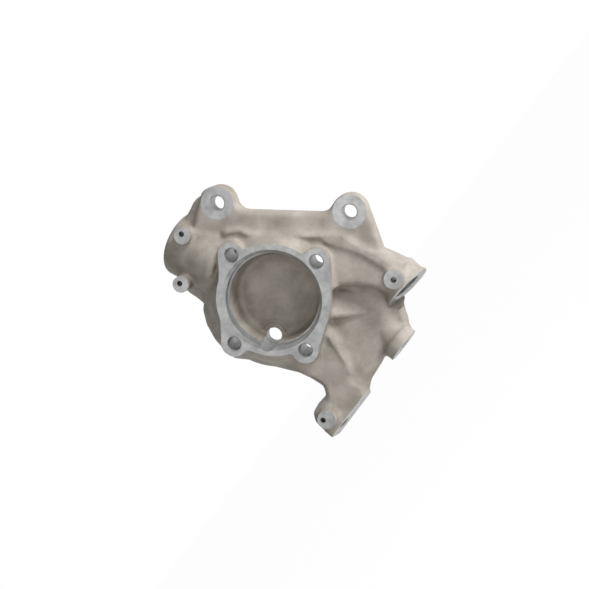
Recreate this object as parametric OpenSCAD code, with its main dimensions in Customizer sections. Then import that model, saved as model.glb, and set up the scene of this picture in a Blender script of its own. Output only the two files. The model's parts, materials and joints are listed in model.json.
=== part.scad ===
// Steering knuckle of a front wheel, cast in one piece and then machined.
// It is drawn in the plane of the wheel: x and y lie in that plane and z points outboard,
// with zero at the centre of the hub seat. The last step turns it as it sits on the car:
// +Z up, -Y outboard, +X along the car to the side of the caliper.

/* [Hub seat] */
// Diameter of the register that centres the wheel bearing
bore_d = 92; // [88:1:94]
// Depth of the machined register
register_depth = 13; // [9:1:17]
// Size of the lead-in chamfer of the register
lead_in = 3.3; // [2:0.1:4]
// Outer diameter of the machined ring face
ring_d = 109; // [107:1:113]
// Depth of the closed bowl behind the hub face
bowl_depth = 38; // [34:1:44]
// Thickness of the bowl's floor
floor_wall = 7; // [5:0.5:10]
// Outer diameter of the cast housing
housing_d = 145; // [140:1:152]
// Diameter of the circle that the four bearing bolts lie on
bolt_circle_d = 116; // [114:1:119]
// Clearance hole for a bearing bolt
bolt_hole_d = 13.5; // [10:0.5:15]
// Diameter of the lobe round each bearing bolt
bolt_lobe_d = 26; // [24:1:30]
// Length of the bosses that the bearing bolts pass through
bolt_boss_length = 40; // [36:1:44]

/* [Wheel speed sensor] */
// Diameter of the sensor hole through the floor
sensor_d = 15.4; // [12:0.2:16]
// Distance of the sensor hole from the hub centre
sensor_reach = 42.5; // [41:0.5:44]
// Core hole of the sensor's screw
sensor_screw_d = 5; // [4:0.1:6]

/* [Caliper ears] */
// Distance between the two caliper bolts
ear_spacing = 129; // [125:1:133]
// Height of the caliper bolts above the hub centre
ear_height = 87.5; // [86:0.5:90]
// Clearance hole for a caliper bolt
caliper_hole_d = 14; // [11:0.5:16]
// Diameter of the milled spot face round a caliper bolt
spot_d = 32.5; // [28:0.5:34]
// Thickness of the ear plate
ear_wall = 22; // [19:1:24]
// Radius of the ear near the strut
near_ear_r = 17.3; // [17:0.1:18]
// Radius of the ear far from the strut
far_ear_r = 17.6; // [17:0.2:18.4]

/* [Strut clamp] */
// Diameter of the bore that takes the strut
strut_d = 51; // [47:1:54]
// Depth of the strut bore
strut_depth = 50; // [44:1:51]
// Wall of the clamp round the strut
clamp_wall = 9; // [7:0.5:11]
// Width of the pinch slot
slot_w = 4.5; // [4.2:0.1:6]
// Hole for the pinch bolt
pinch_hole_d = 12.5; // [10:0.5:13]
// Lean of the strut towards the car
kingpin_lean = 14; // [12:0.5:16]
// Distance of the clamp's upper end from the hub centre
strut_reach = 113; // [112:1:115]

/* [Joint seats] */
// Bore of the flanged link seat
link_bore_d = 30; // [24:1:34]
// Diameter of the link seat's flange
link_seat_d = 50; // [46:1:52]
// Distance of the link seat from the hub centre
link_reach = 128; // [126:1:130]
// Bore of the lower ball joint
ball_bore_d = 14; // [12:0.5:18]
// Diameter of the ball joint's seat
ball_seat_d = 36; // [32:1:38]
// Distance of the ball joint's seat from the hub centre
ball_reach = 133.5; // [132:0.5:135]
// Bore of the tie rod end
tie_bore_d = 13; // [11:0.5:14]
// Distance of the tie rod bore from the hub centre
tie_reach = 145; // [143:1:147]

/* [Splash shield bosses] */
// Diameter of the two bosses beside the strut
upper_boss_d = 16.4; // [14:0.2:18]
// Diameter of the two bosses on the lower arms
lower_boss_d = 18.8; // [16:0.2:20]
// Core hole of the shield screws
shield_hole_d = 5.2; // [4:0.1:7]
// Depth of the shield screw holes
shield_hole_depth = 14; // [9:1:16]
// Distance of the shield plane behind the hub face
shield_plane = 4; // [3:0.5:5]

/* [Casting] */
// Depth of the body's front face behind the hub face
body_level = 12; // [11:0.5:13]
// Depth of the ear plate's front face behind the hub face
ear_level = 14; // [13.5:0.5:16]
// Depth of the tie rod arm's front face behind the hub face
arm_level = 18; // [16:0.5:20]
// Depth of the recessed web's front face behind the hub face
web_level = 27; // [25:0.5:29]
// Depth of the body's back face behind the hub face
body_back = 46; // [44:0.5:50]
// Radius of the rounded rims of the casting
rim_r = 5; // [3:0.5:6]

/* [Hidden] */
$fn = 64;

// Overrun of every cut, and the turn of one step round a corner
cut = 1;
arc_step = 18;
least_share = 0.08;
mouth_share = 0.06;

// Turn of the drawing plane to the car
car_turn = 52;

// Plane vectors and unit vectors
function dir(a) = [cos(a), sin(a)];
function unit(v) = v / norm(v);
function flat(p) = [p.x, p.y];
function sized(shares, size) = [for (s = shares) s * size];

// Corner where two lines meet; a line is [point, angle of its normal, distance from the point]
function meet(l, m, r) =
    let (n = dir(l[1]), k = dir(m[1]), s = n * l[0] + l[2], t = k * m[0] + m[2], q = cross(n, k))
    [(s * k.y - t * n.y) / q, (t * n.x - s * k.x) / q, r];

// A cast outline is a list of corners [x, y, radius], counter-clockwise
function edge_normal(a, b) = let (d = unit(flat(b) - flat(a))) [d.y, -d.x];
function inset_corner(a, p, b, d) =
    let (n = edge_normal(a, p), k = edge_normal(p, b), q = flat(p) - (n + k) * d / (1 + n * k))
    [q.x, q.y, p[2] == 0 ? 0 : max(p[2] - sign(cross(n, k)) * d, least_share * rim_r)];
function inset(o, d) =
    let (n = len(o)) [for (i = [0:n - 1]) inset_corner(o[(i + n - 1) % n], o[i], o[(i + 1) % n], d)];
function corner_arc(a, p, b) =
    p[2] == 0 ? [flat(p)] :
    let (
        u = unit(flat(a) - flat(p)),
        v = unit(flat(b) - flat(p)),
        half = acos(u * v) / 2,
        c = flat(p) + unit(u + v) * p[2] / sin(half),
        s = flat(p) + u * p[2] / tan(half) - c,
        e = flat(p) + v * p[2] / tan(half) - c,
        from = atan2(s.y, s.x),
        sweep = (atan2(e.y, e.x) - from + 540) % 360 - 180,
        steps = ceil(abs(sweep) / arc_step - least_share)
    )
    [for (k = [0:steps]) c + p[2] * dir(from + sweep * k / steps)];
function rounded(o) =
    let (n = len(o)) [for (i = [0:n - 1]) each corner_arc(o[(i + n - 1) % n], o[i], o[(i + 1) % n])];

// Triangles that fill an outline: one convex corner after the other is cut off
function holds(p, a, b, c) = cross(b - a, p - a) >= 0 && cross(c - b, p - b) >= 0 && cross(a - c, p - c) >= 0;
function corner(list, i) = let (n = len(list)) [list[(i + n - 1) % n], list[i], list[(i + 1) % n]];
function is_free(points, list, i) =
    let (t = corner(list, i), a = points[t[0]], b = points[t[1]], c = points[t[2]])
    cross(b - a, c - b) > 0
    && len([for (j = list) if (j != t[0] && j != t[1] && j != t[2] && holds(points[j], a, b, c)) j]) == 0;
function free_corner(points, list, i = 0) =
    i == len(list) ? 0 : is_free(points, list, i) ? i : free_corner(points, list, i + 1);
function filled(points, list, done = []) =
    len(list) == 3 ? concat(done, [list]) :
    let (i = free_corner(points, list))
    filled(points, [for (k = [0:len(list) - 1]) if (k != i) list[k]], concat(done, [corner(list, i)]));

// Closed surface through rings of equally many points
module skin(rings) {
    n = len(rings[0]);
    m = len(rings);
    sides = [for (j = [0:m - 2], i = [0:n - 1])
        let (k = (i + 1) % n, a = j * n, b = a + n)
        each [[a + i, b + i, b + k], [a + i, b + k, a + k]]];
    list = [for (i = [0:n - 1]) i];
    first = filled([for (p = rings[0]) flat(p)], list);
    last = [for (t = filled([for (p = rings[m - 1]) flat(p)], list)) [for (i = [2:-1:0]) t[i] + (m - 1) * n]];
    polyhedron([for (r = rings) each r], concat(first, sides, last));
}

// Cast plate between two levels with a bevelled front rim; fall tilts its front face
module cast_plate(outline, back, front, rim, fall = [0, 0]) {
    levels = [[0, back, 0], [0, front - rim, 1], [rim, front, 1]];
    skin([for (l = levels) [for (q = rounded(inset(outline, l[0]))) [q.x, q.y, l[1] + l[2] * (q * fall)]]]);
}

// Round hole from z = 0 down, with a bevelled mouth
module bore(d, h) {
    mouth = mouth_share * d;
    translate([0, 0, -h]) cylinder(d = d, h = h + cut);
    translate([0, 0, -mouth]) cylinder(d1 = d, d2 = d + 4 * mouth, h = 2 * mouth);
}

// Frame of a joint seat: z is the outward normal of its face, x points inboard
module at_seat(place, turn, lean) {
    translate(place) rotate([0, 0, turn]) rotate([0, 90 - lean, 0]) children();
}

// Housing: a revolved bowl with a cone that falls from the ring face
housing_profile = let (r = ring_d / 2, h = housing_d / 2, b = bowl_depth + floor_wall) [
    [0, -b, 0],
    [0.8 * h, -b, 0],
    [h, -0.75 * b, 0],
    [h, -0.55 * b, 0.1 * h],
    [r + 0.58 * (h - r), -0.33 * b, 0],
    [r + 0.36 * (h - r), -0.18 * b, 0.1 * h],
    [r, -0.04 * b, 0],
    [r, 0, 0],
    [0, 0, 0]
];

// Angles of the bearing bolts: the upper pair stands wider apart than the lower one
bolt_turn = 85.3;
bolt_spread_angles = [45.4, 142.6];
bolt_spot_share = 0.92;
bolt_angles = [for (half = bolt_spread_angles, side = [-1, 1]) bolt_turn + side * half];
module at_bolts() {
    for (a = bolt_angles) rotate([0, 0, a]) translate([bolt_circle_d / 2, 0, 0]) children();
}

// Pocket beside the ring, where the web comes up to it
pocket_turns = [bolt_angles[2], 9];
pocket_profile = let (r = 1.02 * ring_d / 2, h = housing_d / 2 + cut, b = web_level + rim_r) [
    [r, -b], [h, -b], [h, cut], [r, cut]
];

// Fills that blend the lobes into the ring on both sides of the hub
lobe_fill_share = 0.97;
ring_fill_shares = [[1.07, 0.2], [1.04, -0.2]];
function lobe_side(i) =
    let (a = bolt_angles[i]) bolt_circle_d / 2 * dir(a) + lobe_fill_share * bolt_lobe_d / 2 * [sign(cos(a)), 0];
module side_fills() {
    for (points = [[lobe_side(0), each sized(ring_fill_shares, ring_d / 2), lobe_side(2)], [lobe_side(1), lobe_side(3)]])
        translate([0, 0, -bolt_boss_length]) linear_extrude(height = bolt_boss_length)
            polygon([[0, 0], each points]);
}

module housing() {
    difference() {
        rotate_extrude($fn = 96) polygon(rounded(housing_profile));
        rotate([0, 0, pocket_turns[0]]) rotate_extrude(angle = pocket_turns[1] - pocket_turns[0], $fn = 96)
            polygon(pocket_profile);
    }
    at_bolts() translate([0, 0, -bolt_boss_length]) cylinder(d = bolt_lobe_d, h = bolt_boss_length);
    side_fills();
}

// Bowl, register and bearing bolt holes
bowl_profile = let (r = bore_d / 2) [
    [0, -bowl_depth, 0],
    [0.92 * r, -bowl_depth, 0.12 * r],
    [0.97 * r, -register_depth, 0],
    [r, -register_depth, 0],
    [r, -lead_in, 0],
    [r + lead_in, 0, 0],
    [r + lead_in, cut, 0],
    [0, cut, 0]
];

module bowl_cut() {
    rotate_extrude($fn = 96) polygon(rounded(bowl_profile));
}

module bolt_cuts() {
    back = 2 * bolt_boss_length;
    at_bolts() {
        bore(bolt_hole_d, back);
        translate([0, 0, -back]) cylinder(d = bolt_spot_share * bolt_lobe_d, h = back - bolt_boss_length);
    }
}

// Sensor hole through a boss on the floor, and the wider relief that runs down the bowl's wall to it
sensor_turn = -98;
sensor_boss_r = 0.95 * sensor_d;
sensor_boss_rise = 0.4 * floor_wall;
sensor_screw_gap = sensor_boss_r + 1.3 * sensor_screw_d;
module at_sensor() {
    rotate([0, 0, sensor_turn]) translate([sensor_reach, 0, -bowl_depth - floor_wall]) children();
}

module sensor_boss() {
    at_sensor() translate([0, 0, -sensor_boss_rise]) {
        cylinder(r = sensor_boss_r, h = floor_wall + sensor_boss_rise);
        translate([-sensor_screw_gap, 0, 0]) cylinder(d = 2.4 * sensor_screw_d, h = floor_wall);
    }
}

// Stepped pad round the sensor hole on the bowl's floor
module sensor_pad() {
    at_sensor() translate([0, 0, 0.5 * floor_wall]) {
        cylinder(d = 2.1 * sensor_d, h = 0.68 * floor_wall);
        cylinder(d = 1.62 * sensor_d, h = floor_wall);
    }
}

module sensor_cuts() {
    at_sensor() translate([0, 0, 1.4 * floor_wall])
        cylinder(d = 1.05 * sensor_d, h = bowl_depth - 0.4 * floor_wall + cut);
    at_sensor() translate([0, 0, -sensor_boss_rise - cut]) {
        cylinder(d = sensor_d, h = 2 * floor_wall + sensor_boss_rise);
        translate([-sensor_screw_gap, 0, 0])
            cylinder(d = sensor_screw_d, h = sensor_boss_rise + 0.7 * floor_wall + cut);
    }
}

// Ear plate: lines that touch the two ears, with the web's top edge between them
ear_turn = -4.6;
ear_mid = [0.087 * ear_spacing, ear_height];
near_ear = ear_mid - dir(ear_turn) * ear_spacing / 2;
far_ear = ear_mid + dir(ear_turn) * ear_spacing / 2;
ear_rim = 0.6 * rim_r;
ear_outline = let (
    shoulder = [near_ear, 162, 1.05 * near_ear_r],
    rise = [near_ear, 115.5, near_ear_r],
    inner_near = [near_ear, 8, near_ear_r],
    top = [near_ear, 87.4, -0.37 * near_ear_r],
    inner_far = [far_ear, 147.5, far_ear_r],
    outer = [far_ear, 18.5, far_ear_r],
    low = [[0, 0], 85, 0.555 * ear_height]
) [
    meet(shoulder, low, 0),
    meet(low, outer, 0),
    meet(outer, inner_far, far_ear_r),
    meet(inner_far, top, 0.74 * far_ear_r),
    meet(top, inner_near, 0.7 * near_ear_r),
    meet(inner_near, rise, near_ear_r),
    meet(rise, shoulder, 0.4 * near_ear_r)
];

// Neck that joins the near ear to the strut clamp
neck_shares = [
    [-0.833, 0.614, 0.03], [-0.61, 0.53, 0], [-0.53, 0.79, 0], [-0.62, 0.9, 0.04], [-0.7, 0.835, 0],
    [-0.74, 0.763, 0]
];

module ears() {
    cast_plate(ear_outline, -ear_level - ear_wall, -ear_level, ear_rim);
    cast_plate(sized(neck_shares, strut_reach), -1.1 * ear_level - ear_wall, -1.6 * ear_level, ear_rim);
}

spot_depth = 0.06 * ear_wall;
module ear_cuts() {
    for (p = [near_ear, far_ear]) translate([p.x, p.y, -ear_level]) {
        translate([0, 0, -spot_depth]) cylinder(d = spot_d, h = spot_depth + cut);
        translate([0, 0, -ear_wall - cut]) cylinder(d = spot_d, h = spot_depth + cut);
        translate([0, 0, -spot_depth]) bore(caliper_hole_d, ear_wall);
    }
}

// Body above the hub, from the strut clamp to the link seat, and the bead that runs along its top
body_shares = [
    [-0.682, 0.411, 0.02], [-0.502, 0.33, 0], [-0.425, 0.312, 0], [-0.295, 0.233, 0], [0.349, 0.078, 0],
    [0.481, 0.085, 0], [0.689, 0.084, 0.05], [0.785, 0.064, 0], [0.894, 0.012, 0.02], [0.99, 0.11, 0],
    [0.997, 0.272, 0.02], [0.822, 0.352, 0], [0.674, 0.368, 0], [0.616, 0.407, 0], [0.539, 0.465, 0],
    [0.395, 0.477, 0], [-0.054, 0.469, 0], [-0.163, 0.488, 0], [-0.24, 0.519, 0], [-0.349, 0.512, 0],
    [-0.388, 0.488, 0], [-0.527, 0.519, 0], [-0.62, 0.547, 0.02], [-0.682, 0.496, 0]
];
bead_shares = [
    [0.93, 0.256, 0], [0.803, 0.341, 0], [0.687, 0.391, 0], [0.628, 0.43, 0], [0.549, 0.488, 0],
    [0.403, 0.5, 0], [-0.051, 0.492, 0], [-0.163, 0.512, 0], [-0.24, 0.543, 0], [-0.357, 0.535, 0],
    [-0.388, 0.5, 0], [-0.364, 0.465, 0], [-0.333, 0.485, 0], [-0.24, 0.492, 0], [-0.171, 0.461, 0],
    [-0.062, 0.442, 0], [0.372, 0.442, 0], [0.401, 0.405, 0], [0.511, 0.367, 0], [0.599, 0.341, 0],
    [0.672, 0.315, 0], [0.73, 0.277, 0], [0.802, 0.233, 0], [0.868, 0.19, 0]
];
bead_rise = 0.5 * rim_r;

module body_plate() {
    cast_plate(sized(body_shares, link_reach), -0.97 * body_back, -body_level, 0.8 * rim_r);
    cast_plate(sized(bead_shares, link_reach), -body_level - rim_r, bead_rise - body_level, bead_rise);
}

// Skirt round the lower front of the housing
skirt_shares = [
    [-0.515, 0.02, 0], [-0.537, -0.11, 0], [-0.516, -0.214, 0], [-0.462, -0.321, 0], [-0.389, -0.406, 0],
    [-0.324, -0.455, 0.02], [-0.184, -0.469, 0], [-0.079, -0.502, 0], [0.13, -0.552, 0],
    [0.214, -0.593, 0], [0.25, -0.48, 0], [0.14, -0.2, 0], [-0.28, 0.03, 0]
];
skirt_level = 0.52 * body_back;

// Arm towards the tie rod, and the recessed web beside it that rises towards the arm's end
arm_shares = [
    [-0.07, -0.38, 0], [0.061, -0.503, 0], [0.143, -0.531, 0], [0.214, -0.566, 0], [0.307, -0.624, 0.05],
    [0.324, -0.7, 0.04], [0.228, -0.807, 0.045], [0.243, -0.88, 0.05], [0.332, -0.972, 0.02],
    [0.42, -1.04, 0], [0.621, -0.739, 0], [0.61, -0.7, 0], [0.588, -0.62, 0], [0.51, -0.56, 0],
    [0.49, -0.45, 0], [0.452, -0.378, 0], [0.336, -0.19, 0], [0.2, -0.17, 0]
];
web_shares = [
    [0.2, -0.45, 0], [0.33, -0.6, 0], [0.47, -0.66, 0], [0.6, -0.7, 0], [0.626, -0.59, 0],
    [0.703, -0.468, 0], [0.731, -0.414, 0], [0.828, -0.331, 0], [0.84, -0.27, 0.07],
    [0.76, -0.13, 0.04], [0.79, 0, 0], [0.84, 0.08, 0], [0.41, 0.16, 0], [0.28, -0.07, 0]
];
web_fall = [0, -0.09];

// Crest between the arm and the web: a ridge from the ring that sinks towards the arm's end
crest_shares = [
    [0.271, -0.218, 0], [0.391, -0.415, 0], [0.427, -0.476, 0], [0.461, -0.587, 0],
    [0.55, -0.559, 0], [0.511, -0.438, 0], [0.471, -0.367, 0], [0.351, -0.17, 0]
];
crest_level = 0.78 * arm_level;
crest_fall = [0, 0.045];

// Hump of the web beside the ring, and the neck behind it that ties the link seat to the ball joint
hump_shares = [
    [0.37, -0.15, 0], [0.6, -0.145, 0.03], [0.71, -0.07, 0.02], [0.64, 0.03, 0], [0.4, 0.07, 0], [0.33, -0.04, 0]
];
hump_fall = [-0.24, -0.32];
hump_level = 0.29 * web_level;
link_neck_shares = [
    [0.68, -0.1, 0], [0.72, -0.28, 0], [0.82, -0.36, 0], [0.9, -0.276, 0], [0.877, -0.231, 0], [0.873, -0.19, 0],
    [0.85, -0.12, 0.02], [0.84, -0.05, 0], [0.78, 0.02, 0], [0.69, 0, 0]
];

module lower_plates() {
    cast_plate(sized(skirt_shares, tie_reach), -0.93 * body_back, -skirt_level, 1.6 * rim_r);
    cast_plate(sized(arm_shares, tie_reach), -body_back, -arm_level, 0.8 * rim_r);
    cast_plate(sized(web_shares, tie_reach), -0.95 * body_back, -web_level, 1.8 * rim_r, web_fall);
    cast_plate(sized(crest_shares, tie_reach), -1.6 * arm_level, -crest_level, 1.2 * rim_r, crest_fall);
    cast_plate(sized(hump_shares, tie_reach), -0.9 * body_back, -hump_level, 0.8 * rim_r, hump_fall);
    cast_plate(sized(link_neck_shares, tie_reach), -1.25 * body_back, -0.87 * body_back, 0.8 * rim_r);
}

// Gusset between the clamp and the housing, behind the lower of the two upper bosses
gusset_shares = [
    [-0.877, 0.123, 0.04], [-0.85, 0.005, 0.03], [-0.754, -0.061, 0], [-0.614, -0.19, 0],
    [-0.44, -0.17, 0], [-0.44, 0.22, 0], [-0.83, 0.26, 0.03]
];
gusset_level = 0.87 * body_back;
module gusset() {
    cast_plate(sized(gusset_shares, strut_reach), -1.15 * body_back, -gusset_level, ear_rim);
}

// Link seat: a flange on a round boss that leans like the strut
link_turn = -44;
link_lean = kingpin_lean - 1;
link_seat = [link_reach * cos(2.9), link_reach * sin(2.9), -0.74 * body_back];
flange_wall = 0.06 * link_seat_d;
link_boss_length = 0.38 * link_seat_d;

// Lower ball joint: a round boss that tapers into the web
ball_turn = -36;
ball_lean = 0.65 * kingpin_lean;
ball_seat = [ball_reach * cos(-22.1), ball_reach * sin(-22.1), -0.65 * body_back];
ball_boss_length = 0.3 * ball_seat_d;

// Tie rod: the end of its arm is milled flat
tie_turn = -36.7;
tie_lean = kingpin_lean - 1;
tie_seat = [tie_reach * cos(-64.1), tie_reach * sin(-64.1), -0.65 * body_back];
tie_face = [-1.6 * tie_bore_d, 3.5 * tie_bore_d];
tie_bore_depth = 2 * tie_bore_d;
link_bore_depth = 1.15 * link_boss_length;

module seats() {
    at_seat(link_seat, link_turn, link_lean) {
        translate([0, 0, -flange_wall]) cylinder(d = link_seat_d, h = flange_wall);
        translate([0, 0, -link_boss_length]) cylinder(d = 0.92 * link_seat_d, h = link_boss_length - flange_wall / 2);
    }
    at_seat(ball_seat, ball_turn, ball_lean) {
        translate([0, 0, -ball_boss_length]) cylinder(d = ball_seat_d, h = ball_boss_length);
        translate([0, 0, -4 * ball_boss_length])
            cylinder(d1 = 0.3 * ball_seat_d, d2 = 0.84 * ball_seat_d, h = 3 * ball_boss_length);
    }
}

module seat_cuts() {
    at_seat(link_seat, link_turn, link_lean) {
        bore(link_bore_d, link_bore_depth);
        cylinder(d = 0.8 * link_seat_d, h = link_seat_d);
    }
    at_seat(ball_seat, ball_turn, ball_lean) bore(ball_bore_d, 3 * ball_boss_length);
    at_seat(tie_seat, tie_turn, tie_lean) {
        bore(tie_bore_d, tie_bore_depth);
        translate([-body_back, tie_face[0], 0]) cube([2 * body_back, tie_face[1] - tie_face[0], 2 * tie_bore_d]);
    }
}

// Strut clamp: a tube with a pinch slot and two lugs on its inboard side
strut_turn = 156;
strut_top = [strut_reach * cos(152.5), strut_reach * sin(152.5), -1.05 * body_back];
clamp_d = strut_d + 2 * clamp_wall;
lug_w = 2 * pinch_hole_d + slot_w;
lug_reach = clamp_d / 2 + 1.2 * pinch_hole_d;
lug_end = 0.22 * strut_depth;
lug_length = 2.8 * pinch_hole_d;
module at_strut() {
    translate(strut_top) rotate([0, 0, strut_turn]) rotate([0, 90 + kingpin_lean, 0]) children();
}
clamp_profile = let (r = clamp_d / 2, h = strut_depth + clamp_wall) [
    [0, -h, 0], [r, -h, 0.8 * clamp_wall], [r, 0, 0.6 * clamp_wall], [0, 0, 0]
];
lug_outline = [
    [0, -lug_end - lug_length, 0], [lug_reach, -lug_end - lug_length, 0.4 * lug_length],
    [lug_reach, -lug_end, 0.4 * lug_length], [0, -lug_end, 0]
];

module clamp() {
    at_strut() {
        rotate_extrude() polygon(rounded(clamp_profile));
        rotate([90, 0, 0]) cast_plate(lug_outline, -lug_w / 2, lug_w / 2, least_share * rim_r);
    }
}

module clamp_cuts() {
    at_strut() {
        bore(strut_d, strut_depth);
        translate([0, -slot_w / 2, -strut_depth]) cube([lug_reach + cut, slot_w, strut_depth + cut]);
        translate([lug_reach - pinch_hole_d, 0, -lug_end - lug_length / 2]) rotate([90, 0, 0])
            cylinder(d = pinch_hole_d, h = 2 * lug_w, center = true);
    }
}

// Splash shield bosses: their machined ends share one plane
upper_places = sized([[-0.766, 0.553], [-0.804, 0.133]], strut_reach);
lower_places = [[0.914 * link_reach, 0.152 * link_reach], [0.343 * tie_reach, -0.823 * tie_reach]];
module shield_bosses(places, d) {
    base = 0.9 * body_back;
    for (p = places) translate([p.x, p.y, -base]) cylinder(d1 = 1.2 * d, d2 = d, h = base - shield_plane);
}

// Their screw holes, each a little off the middle of its cast boss
shield_holes = concat(
    upper_places + sized([[-0.04, 0.12], [-0.06, 0.06]], upper_boss_d),
    lower_places + sized([[0, -0.03], [-0.2, -0.03]], lower_boss_d)
);
module shield_cuts() {
    for (p = shield_holes) translate([p.x, p.y, -shield_plane]) bore(shield_hole_d, shield_hole_depth);
}

module knuckle() {
    color("silver")
    rotate([90, 0, 0]) rotate([0, 0, -car_turn])
    difference() {
        union() {
            difference() {
                union() {
                    housing();
                    ears();
                    body_plate();
                    lower_plates();
                    gusset();
                    seats();
                    clamp();
                    sensor_boss();
                    shield_bosses(upper_places, upper_boss_d);
                    shield_bosses(lower_places, lower_boss_d);
                }
                bowl_cut();
            }
            sensor_pad();
        }
        bolt_cuts();
        sensor_cuts();
        ear_cuts();
        seat_cuts();
        clamp_cuts();
        shield_cuts();
    }
}

knuckle();
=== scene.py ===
import json
import math
import bpy
import bmesh
from mathutils import Matrix, Vector


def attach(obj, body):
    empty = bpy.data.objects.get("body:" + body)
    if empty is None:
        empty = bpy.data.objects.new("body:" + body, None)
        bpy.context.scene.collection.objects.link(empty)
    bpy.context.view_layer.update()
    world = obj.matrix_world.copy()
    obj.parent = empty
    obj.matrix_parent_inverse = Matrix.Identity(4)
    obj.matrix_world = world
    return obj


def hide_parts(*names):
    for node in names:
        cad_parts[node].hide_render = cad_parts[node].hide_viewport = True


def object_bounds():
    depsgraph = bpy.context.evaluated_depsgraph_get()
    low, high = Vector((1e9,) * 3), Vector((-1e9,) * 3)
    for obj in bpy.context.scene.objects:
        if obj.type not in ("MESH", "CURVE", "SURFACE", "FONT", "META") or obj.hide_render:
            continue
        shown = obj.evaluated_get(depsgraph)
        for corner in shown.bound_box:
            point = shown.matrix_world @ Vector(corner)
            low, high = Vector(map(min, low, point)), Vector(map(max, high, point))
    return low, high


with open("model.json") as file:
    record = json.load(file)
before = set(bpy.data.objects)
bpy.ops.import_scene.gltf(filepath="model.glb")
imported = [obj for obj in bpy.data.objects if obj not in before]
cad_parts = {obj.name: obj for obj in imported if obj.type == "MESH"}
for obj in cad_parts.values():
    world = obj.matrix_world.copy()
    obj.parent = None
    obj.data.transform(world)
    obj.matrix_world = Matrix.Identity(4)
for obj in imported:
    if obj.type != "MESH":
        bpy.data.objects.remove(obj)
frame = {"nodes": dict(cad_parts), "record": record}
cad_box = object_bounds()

# The rough casting: the knuckle as it leaves the mould, in sand-blasted aluminium. Its holes are
# still filled and its seats still carry the stock that the mill takes off.
MM = 0.001
stock = 3.5 * MM
knuckle_cad = frame["nodes"]["knuckle"]
mounts = {m["name"]: m for m in frame["record"]["mounts"]}
bearing_bolts = [n for n in mounts if n.startswith("hub_bolt")]
caliper_bolts = [n for n in mounts if n.startswith("caliper_bolt")]
shield_screws = [n for n in mounts if n.startswith("shield_screw")]
seats = {"link_joint": 25 * MM, "ball_joint": 18 * MM, "tie_rod": 45 * MM, "strut_clamp": 36 * MM}
outboard = Vector((0, -1, 0))
origin = Vector((0, 0, 0))


def axis_of(name):
    return Vector(mounts[name]["pos_m"]), Vector(mounts[name]["axis"]).normalized()


def radius_of(name):
    return mounts[name]["dims"]["r_mm"] * MM


def half_length_of(name):
    return mounts[name]["dims"]["length_mm"] * MM / 2


def turned(target, place, axis, profile, steps=72, closed=False):
    """Spins a profile of (radius, height) points round the axis; the closed solid joins target."""
    part = bmesh.new()
    points = [part.verts.new((r, 0, h)) for r, h in profile]
    ends = points[1:] + points[:1] if closed else points[1:]
    edges = [part.edges.new(pair) for pair in zip(points, ends)]
    bmesh.ops.spin(part, geom=points + edges, cent=(0, 0, 0), axis=(0, 0, 1), angle=2 * math.pi,
                   steps=steps, use_merge=True)
    bmesh.ops.remove_doubles(part, verts=part.verts, dist=0.001 * MM)
    bmesh.ops.recalc_face_normals(part, faces=part.faces)
    turn = axis.to_track_quat("Z", "Y").to_matrix().to_4x4()
    bmesh.ops.transform(part, matrix=Matrix.Translation(place) @ turn, verts=part.verts)
    mesh = bpy.data.meshes.new("turned")
    part.to_mesh(mesh)
    target.from_mesh(mesh)
    part.free()
    bpy.data.meshes.remove(mesh)


def rod(target, place, axis, radius, low, high):
    turned(target, place, axis, [(0, low), (radius, low), (radius, high), (0, high)])


def in_plane(name):
    """The point of a vertical bore's axis that lies in the plane of the hub face."""
    place = axis_of(name)[0]
    return Vector((place.x, 0, place.z))


blank = bmesh.new()
blank.from_mesh(knuckle_cad.data)
bmesh.ops.remove_doubles(blank, verts=blank.verts, dist=0.001 * MM)

# Stock on the seats: every machined face of the solid is found at its mount and drawn out. The
# place where each axis leaves its face is kept for the machining.
hair = 0.2 * MM
level_gap = 0.6 * MM
lead_share = 0.12
reaches = {"hub_face": 68 * MM, **seats, **{name: 11 * MM for name in shield_screws}}
mouths = {}
for name, reach in reaches.items():
    place, axis = axis_of(name)
    guess = place
    if name != "hub_face":
        guess = place + axis * (half_length_of(name) + lead_share * radius_of(name) + hair)
    flat = []
    for face in blank.faces:
        offset = face.calc_center_median() - guess
        height = offset.dot(axis)
        beside = (offset - axis * height).length
        if face.normal.dot(axis) > 0.9999 and abs(height) < level_gap and beside < reach:
            flat.append(face)
    level = (flat[0].calc_center_median() - guess).dot(axis)
    mouths[name] = guess + axis * level
    raised = bmesh.ops.extrude_face_region(blank, geom=flat)["geom"]
    corners = [part for part in raised if isinstance(part, bmesh.types.BMVert)]
    bmesh.ops.translate(blank, vec=axis * stock, verts=corners)
    bmesh.ops.delete(blank, geom=flat, context="FACES_ONLY")

# Plugs in the holes: each one laps into the wall of its bore and stands as high as the stock, and
# caps cover the spot faces of the ears on both sides.
lap = 1.2 * MM
seat_lap = 0.3 * MM
mouth_lap = 0.4 * MM
cap_r = 16.3 * MM
register_r = radius_of("hub_register")
register_depth = mounts["hub_register"]["pos_m"][1] + half_length_of("hub_register") + hair
sleeve = [(register_r - lap, -register_depth), (register_r + 4 * MM, -register_depth),
          (register_r + 4 * MM, stock), (register_r - lap, stock)]
turned(blank, origin, outboard, sleeve, closed=True)
for name in bearing_bolts:
    rod(blank, in_plane(name), outboard, radius_of(name) + lap, -40 * MM, stock)
    rod(blank, in_plane(name), outboard, 2 * radius_of(name), -43 * MM, -38 * MM)
for name in caliper_bolts:
    rod(blank, in_plane(name), outboard, cap_r, -20 * MM, -14.1 * MM)
    rod(blank, in_plane(name), outboard, cap_r, -35.9 * MM, -30 * MM)
    rod(blank, in_plane(name), outboard, radius_of(name) + lap, -33 * MM, -18 * MM)
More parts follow.
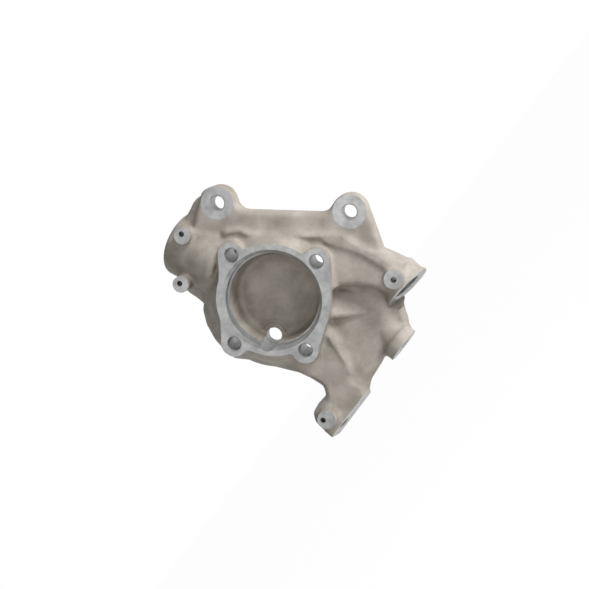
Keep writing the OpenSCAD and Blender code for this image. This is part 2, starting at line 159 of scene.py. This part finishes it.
for name in list(seats) + shield_screws:
    place, axis = axis_of(name)
    r = radius_of(name)
    lead = 0.13 * r
    depth = (mouths[name] - place).dot(axis) + half_length_of(name)
    plug = [(0, -depth), (r + seat_lap, -depth), (r + seat_lap, -lead),
            (r + lead + mouth_lap, -lead), (r + lead + mouth_lap, stock), (0, stock)]
    turned(blank, mouths[name], axis, plug)
for name in ["sensor_hole", "sensor_screw"]:
    place, axis = axis_of(name)
    half = half_length_of(name)
    rod(blank, place, axis, radius_of(name) + mouth_lap, -half, half)

mesh = bpy.data.meshes.new("knuckle_casting")
blank.to_mesh(mesh)
blank.free()
casting = bpy.data.objects.new("knuckle_casting", mesh)
bpy.context.scene.collection.objects.link(casting)


def finished(obj):
    """Turns the object's modifiers into its mesh."""
    depsgraph = bpy.context.evaluated_depsgraph_get()
    mesh = bpy.data.meshes.new_from_object(obj.evaluated_get(depsgraph), depsgraph=depsgraph)
    old = obj.data
    obj.modifiers.clear()
    obj.data = mesh
    bpy.data.meshes.remove(old)


def remeshed(obj, size, iterations):
    """Gives the object one closed skin and smooths it."""
    remesh = obj.modifiers.new("skin", "REMESH")
    remesh.mode = "VOXEL"
    remesh.voxel_size = size
    smooth = obj.modifiers.new("smooth", "SMOOTH")
    smooth.factor = 0.5
    smooth.iterations = iterations
    finished(obj)


# Cast fillets: a softened copy of the skin stands out of the crisp one in every inner corner, and
# both become one skin, so the outer edges stay clear.
remeshed(casting, 1.3 * MM, 2)
softened = bpy.data.objects.new("softened", casting.data.copy())
bpy.context.scene.collection.objects.link(softened)
remeshed(softened, 1.3 * MM, 18)
both = bmesh.new()
both.from_mesh(casting.data)
both.from_mesh(softened.data)
both.to_mesh(casting.data)
both.free()
bpy.data.objects.remove(softened)
remeshed(casting, 1.22 * MM, 2)

# Crisp casting details that the smoothing would wash out: the flange of the link seat and the
# stepped pad round the sensor hole.
cast = bpy.data.materials.new("cast_aluminium")
casting.data.materials.append(cast)


def combine(tool_bmesh, name, material, operation):
    """Joins a solid to the casting or cuts it away; the new faces take the tool's material."""
    mesh = bpy.data.meshes.new(name)
    tool_bmesh.to_mesh(mesh)
    tool_bmesh.free()
    mesh.materials.append(material)
    tool = bpy.data.objects.new(name, mesh)
    bpy.context.scene.collection.objects.link(tool)
    boolean = casting.modifiers.new(name, "BOOLEAN")
    boolean.operation = operation
    boolean.object = tool
    boolean.solver = "EXACT"
    boolean.material_mode = "TRANSFER"
    finished(casting)
    bpy.data.objects.remove(tool)
    bpy.data.meshes.remove(mesh)


details = bmesh.new()
link_flange = [(0, -3), (24.2, -3), (25, -2.4), (25, 3.5), (0, 3.5)]
sensor_pad = [(0, -46), (16.5, -46), (16.2, -37.2), (15.7, -36.7), (13.2, -36.7), (12.7, -35),
              (12.2, -34.5), (0, -34.5)]
link_flange = [(r * MM, height * MM) for r, height in link_flange]
sensor_pad = [(r * MM, height * MM) for r, height in sensor_pad]
turned(details, mouths["link_joint"], axis_of("link_joint")[1], link_flange, steps=128)
turned(details, in_plane("sensor_hole"), outboard, sensor_pad, steps=96)
combine(details, "details", cast, "UNION")

# Machining: one cutter for each pass of the lathe, mill and drill. Every cut takes its place,
# lean and size from the mounts. What stands above the link seat is the neck, so it stays cast.
# Last, nothing of the skin is left outside the reach of the solid.
face_cuts = bmesh.new()
clear = 8 * MM
overrun = 0.6 * MM
ear_front = -15.32 * MM
ear_back = -34.68 * MM
ear_spot_r = 16.25 * MM
bolt_spot_r = 11.96 * MM
face_r = 72 * MM
lead_in = 3.3 * MM
hub_pass = [(0, clear), (face_r, clear), (face_r, 0), (register_r + lead_in, 0),
            (register_r, -lead_in), (register_r, -register_depth), (0, -register_depth)]
turned(face_cuts, origin, outboard, hub_pass, steps=192)
for name in shield_screws:
    rod(face_cuts, mouths[name], outboard, 12.5 * MM, 0, clear)
for name in caliper_bolts:
    rod(face_cuts, in_plane(name), outboard, ear_spot_r, ear_front, -12 * MM)
    rod(face_cuts, in_plane(name), outboard, ear_spot_r, -40 * MM, ear_back)
for name in bearing_bolts:
    rod(face_cuts, in_plane(name), outboard, bolt_spot_r, -60 * MM, -40 * MM)
for name in ("link_joint", "ball_joint", "strut_clamp"):
    rod(face_cuts, mouths[name], axis_of(name)[1], seats[name] + overrun, 0, clear)
axis = axis_of("tie_rod")[1]
across = axis.cross(Vector((0, 1, 0))).normalized()
tool = bmesh.ops.create_cube(face_cuts, size=1)["verts"]
bmesh.ops.scale(face_cuts, vec=(110 * MM, 70 * MM, clear), verts=tool)
turn = Matrix((across, axis.cross(across), axis)).transposed().to_4x4()
move = Matrix.Translation(mouths["tie_rod"] + axis * 4 * MM)
bmesh.ops.transform(face_cuts, matrix=move @ turn, verts=tool)

bore_cuts = bmesh.new()
through = -70 * MM
for name in list(seats) + shield_screws:
    place, axis = axis_of(name)
    r = radius_of(name)
    lead = lead_share * r
    depth = (mouths[name] - place).dot(axis) + half_length_of(name) + seat_lap
    drill = [(0, -depth), (r, -depth), (r, -lead), (r + 2 * lead, lead), (0, lead)]
    turned(bore_cuts, mouths[name], axis, drill)
for name in bearing_bolts + caliper_bolts:
    r = radius_of(name)
    lead = lead_share * r
    top = 0 if name in bearing_bolts else ear_front
    drill = [(0, through), (r, through), (r, top - lead), (r + 2 * lead, top + lead),
             (0, top + lead)]
    turned(bore_cuts, in_plane(name), outboard, drill)
for name in ["sensor_screw", "pinch_bolt"]:
    place, axis = axis_of(name)
    half = half_length_of(name)
    rod(bore_cuts, place, axis, radius_of(name), -half - hair, half + 12 * MM)
sensor_r = radius_of("sensor_hole")
relief = 1.05 * sensor_r
pad_level = -35.2 * MM
drill = [(0, through), (sensor_r, through), (sensor_r, pad_level), (relief, pad_level),
         (relief, 5 * MM), (0, 5 * MM)]
turned(bore_cuts, in_plane("sensor_hole"), outboard, drill)

machined = bpy.data.materials.new("machined_aluminium")
combine(face_cuts, "face_cuts", machined, "DIFFERENCE")
combine(bore_cuts, "bore_cuts", machined, "DIFFERENCE")
axis = axis_of("link_joint")[1]
for polygon in casting.data.polygons:
    polygon.use_smooth = True
    offset = polygon.center - mouths["link_joint"]
    height = offset.dot(axis)
    beside = (offset - axis * height).length
    if 0.05 * MM < height < clear + 0.1 * MM and beside < seats["link_joint"] + 1 * MM:
        polygon.material_index = casting.data.materials.find("cast_aluminium")
for vertex in casting.data.vertices:
    vertex.co = [min(max(c, low), high) for c, low, high in zip(vertex.co, cad_box[0], cad_box[1])]
casting.data.set_sharp_from_angle(angle=math.radians(32))

# Cast skin: warm light grey-brown, blasted to a fine grain and mottled, with painted shade that
# darkens its recesses by way of an ambient-occlusion node.


def blank_tree(material):
    material.use_nodes = True
    tree = material.node_tree
    return tree, tree.nodes["Principled BSDF"]


def add(tree, kind, settings=(), links=()):
    """Adds a node, sets its values and links its inputs; each link is (input, node, output)."""
    node = tree.nodes.new(kind)
    for key, value in settings:
        if isinstance(key, str) and hasattr(node, key):
            setattr(node, key, value)
        else:
            node.inputs[key].default_value = value
    for key, source, output in links:
        tree.links.new(source.outputs[output], node.inputs[key])
    return node


def ramp(tree, source, output, stops):
    node = tree.nodes.new("ShaderNodeValToRGB")
    tree.links.new(source.outputs[output], node.inputs["Fac"])
    elements = node.color_ramp.elements
    while len(elements) < len(stops):
        elements.new(0.5)
    for element, (position, colour) in zip(elements, stops):
        element.position = position
        element.color = (*colour, 1)
    return node


def noise(tree, place, scale, detail, roughness=0.5):
    settings = [("Scale", scale), ("Detail", detail), ("Roughness", roughness)]
    return add(tree, "ShaderNodeTexNoise", settings, [("Vector", place, "Object")])


def multiplied(tree, amount, links):
    """Darkens the colour at input 6 by the one at input 7."""
    settings = [("data_type", "RGBA"), ("blend_type", "MULTIPLY"), (0, amount)]
    return add(tree, "ShaderNodeMix", settings, links)


def bumped(tree, strength, distance, links):
    return add(tree, "ShaderNodeBump", [("Strength", strength), ("Distance", distance)], links)


def reckoned(tree, operation, links, value=0.5):
    return add(tree, "ShaderNodeMath", [("operation", operation), (1, value)], links)


tree, shader = blank_tree(cast)
place = add(tree, "ShaderNodeTexCoord")
mottle = noise(tree, place, 45, 5, 0.6)
skin = ramp(tree, mottle, "Fac", [(0.34, (0.39, 0.353, 0.307)), (0.5, (0.485, 0.443, 0.391)),
                                  (0.66, (0.59, 0.545, 0.486))])
grain = noise(tree, place, 1500, 2, 0.7)
speck = ramp(tree, grain, "Fac", [(0.32, (0.66, 0.65, 0.63)), (0.5, (0.94, 0.94, 0.94)),
                                  (0.7, (1.0, 1.0, 1.0))])
speckled = multiplied(tree, 0.8, [(6, skin, "Color"), (7, speck, "Color")])
# Painted shade: the colour turns dark brown where the ambient-occlusion node finds the surface
# hemmed in by nearby geometry.
hollow = add(tree, "ShaderNodeAmbientOcclusion", [("samples", 8), ("Distance", 0.035)])
painted_shade = ramp(tree, hollow, "AO", [(0.1, (0.12, 0.10, 0.085)), (0.4, (0.52, 0.47, 0.42)),
                                  (0.75, (1, 1, 1))])
skin_with_painted_shade = multiplied(tree, 0.9, [(6, speckled, 2), (7, painted_shade, "Color")])
tree.links.new(skin_with_painted_shade.outputs[2], shader.inputs["Base Color"])
shader.inputs["Metallic"].default_value = 0.25
shader.inputs["Roughness"].default_value = 0.6
waves = noise(tree, place, 130, 3)
broad = bumped(tree, 0.25, 0.0006, [("Height", waves, "Fac")])
fine = bumped(tree, 0.35, 0.00025, [("Height", grain, "Fac"), ("Normal", broad, "Normal")])
tree.links.new(fine.outputs["Normal"], shader.inputs["Normal"])

# Machined metal: cooler and brighter than the skin, slightly stained, with a soft gloss. The hub
# also has the fine rings that the lathe leaves, each at one distance from its axis.
tree, shader = blank_tree(machined)
place = add(tree, "ShaderNodeTexCoord")
stain = noise(tree, place, 90, 4, 0.6)
metal = ramp(tree, stain, "Fac", [(0.35, (0.33, 0.335, 0.33)), (0.62, (0.48, 0.485, 0.48))])
shader.inputs["Metallic"].default_value = 0.65
shader.inputs["Roughness"].default_value = 0.4
flattened = [("operation", "MULTIPLY"), (1, (1, 0, 1))]
flat_place = add(tree, "ShaderNodeVectorMath", flattened, [(0, place, "Object")])
reach = add(tree, "ShaderNodeVectorMath", [("operation", "LENGTH")], [(0, flat_place, "Vector")])
along = add(tree, "ShaderNodeSeparateXYZ", (), [("Vector", place, "Object")])
spiral = reckoned(tree, "ADD", [(0, reach, "Value"), (1, along, "Y")])
turns = reckoned(tree, "MULTIPLY", [(0, spiral, 0)], 2700)
lines = reckoned(tree, "SINE", [(0, turns, 0)])
scored = ramp(tree, lines, 0, [(0.0, (0.88, 0.88, 0.88)), (0.75, (0.97, 0.97, 0.97)),
                               (0.95, (0.76, 0.77, 0.78))])
on_hub = reckoned(tree, "LESS_THAN", [(0, reach, "Value")], 0.0715)
amount = reckoned(tree, "MULTIPLY", [(0, on_hub, 0)], 0.5)
worn = multiplied(tree, 0.5, [(0, amount, 0), (6, metal, "Color"), (7, scored, "Color")])
tree.links.new(worn.outputs[2], shader.inputs["Base Color"])
marks = noise(tree, place, 900, 2)
ringed = bumped(tree, 0.2, 0.0001, [("Height", lines, 0)])
marked = bumped(tree, 0.12, 0.0002, [("Height", marks, "Fac"), ("Normal", ringed, "Normal")])
tree.links.new(marked.outputs["Normal"], shader.inputs["Normal"])

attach(casting, "root")
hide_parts("knuckle")

# The floor: a wide pale sheet well below the part. The camera sees it as bright as the backdrop,
# and its matt share still takes the part's shadow.
bpy.ops.mesh.primitive_plane_add(size=30, location=(0, 0, cad_box[0][2] - 0.5))
floor = bpy.context.object
floor.name = "floor"
floor_paint = bpy.data.materials.new("floor_paint")
tree, shader = blank_tree(floor_paint)
shader.inputs["Base Color"].default_value = (0.8, 0.8, 0.8, 1)
shader.inputs["Roughness"].default_value = 0.9
path = add(tree, "ShaderNodeLightPath")
seen = reckoned(tree, "MAXIMUM", [(0, path, "Is Camera Ray"), (1, path, "Is Glossy Ray")])
matt = add(tree, "ShaderNodeBsdfDiffuse", [("Color", (0.3, 0.3, 0.3, 1))])
glow = add(tree, "ShaderNodeEmission", [("Strength", 0.95)])
bright = add(tree, "ShaderNodeAddShader", (), [(0, matt, 0), (1, glow, 0)])
paint = add(tree, "ShaderNodeMixShader", (), [(0, seen, 0), (1, shader, 0), (2, bright, 0)])
tree.links.new(paint.outputs[0], tree.nodes["Material Output"].inputs["Surface"])
floor.data.materials.append(floor_paint)

# The camera: a plain lens about 0.95 m off the hub face, rolled so that the caliper ears point up.
camera = bpy.data.objects.new("camera", bpy.data.cameras.new("camera"))
bpy.context.scene.collection.objects.link(camera)
camera.data.lens = 61.12
camera.data.sensor_width = 36
camera.location = (0.2674, -0.9190, -0.0475)
aim = Vector((0.0188, 0, -0.0144)) - camera.location
look = aim.to_track_quat("-Z", "Y").to_matrix().to_4x4()
roll = Matrix.Rotation(math.radians(-52.765), 4, "Z")
camera.rotation_euler = (look @ roll).to_euler()
bpy.context.scene.camera = camera

# The light: a soft box above the part in the picture that gives no glare, a weaker one in front,
# one for the back, a reflector that only the gloss shows, and a room that is dim but for the gloss.
world = bpy.data.worlds.new("studio")
bpy.context.scene.world = world
world.use_nodes = True
tree = world.node_tree
path = add(tree, "ShaderNodeLightPath")
seen = reckoned(tree, "MAXIMUM", [(0, path, "Is Camera Ray"), (1, path, "Is Transmission Ray")])
levels = [("To Min", 0.11), ("To Max", 0.6)]
gloss = add(tree, "ShaderNodeMapRange", levels, [("Value", path, "Is Glossy Ray")])
level = reckoned(tree, "MAXIMUM", [(0, seen, 0), (1, gloss, "Result")])
tree.links.new(level.outputs[0], tree.nodes["Background"].inputs["Strength"])
tree.nodes["Background"].inputs["Color"].default_value = (1, 1, 1, 1)
picture_up = Vector((0.774, 0.188, 0.605))
picture_right = Vector((0.577, 0.185, -0.796))
to_camera = Vector((0.261, -0.965, -0.035))
lamps = (("soft_box", picture_up * 0.8 + to_camera * 0.55 + picture_right * 0.45, 0.4, 17),
         ("front_box", to_camera * 1.1 - picture_right * 0.15, 0.5, 1.9),
         ("back_box", picture_up * 0.5 - to_camera * 0.9, 0.6, 5),
         ("reflector", to_camera * 0.77 - picture_right * 0.5 - picture_up * 0.45, 0.45, 0.7))
for name, direction, size, power in lamps:
    lamp = bpy.data.lights.new(name, "AREA")
    lamp.size = size
    lamp.energy = power
    box = bpy.data.objects.new(name, lamp)
    box.location = direction * 1.1
    box.rotation_euler = (-direction).to_track_quat("-Z", "Y").to_euler()
    box.visible_diffuse = name != "reflector"
    box.visible_glossy = name not in ("soft_box", "back_box")
    bpy.context.scene.collection.objects.link(box)

bpy.context.scene.view_settings.view_transform = "Standard"
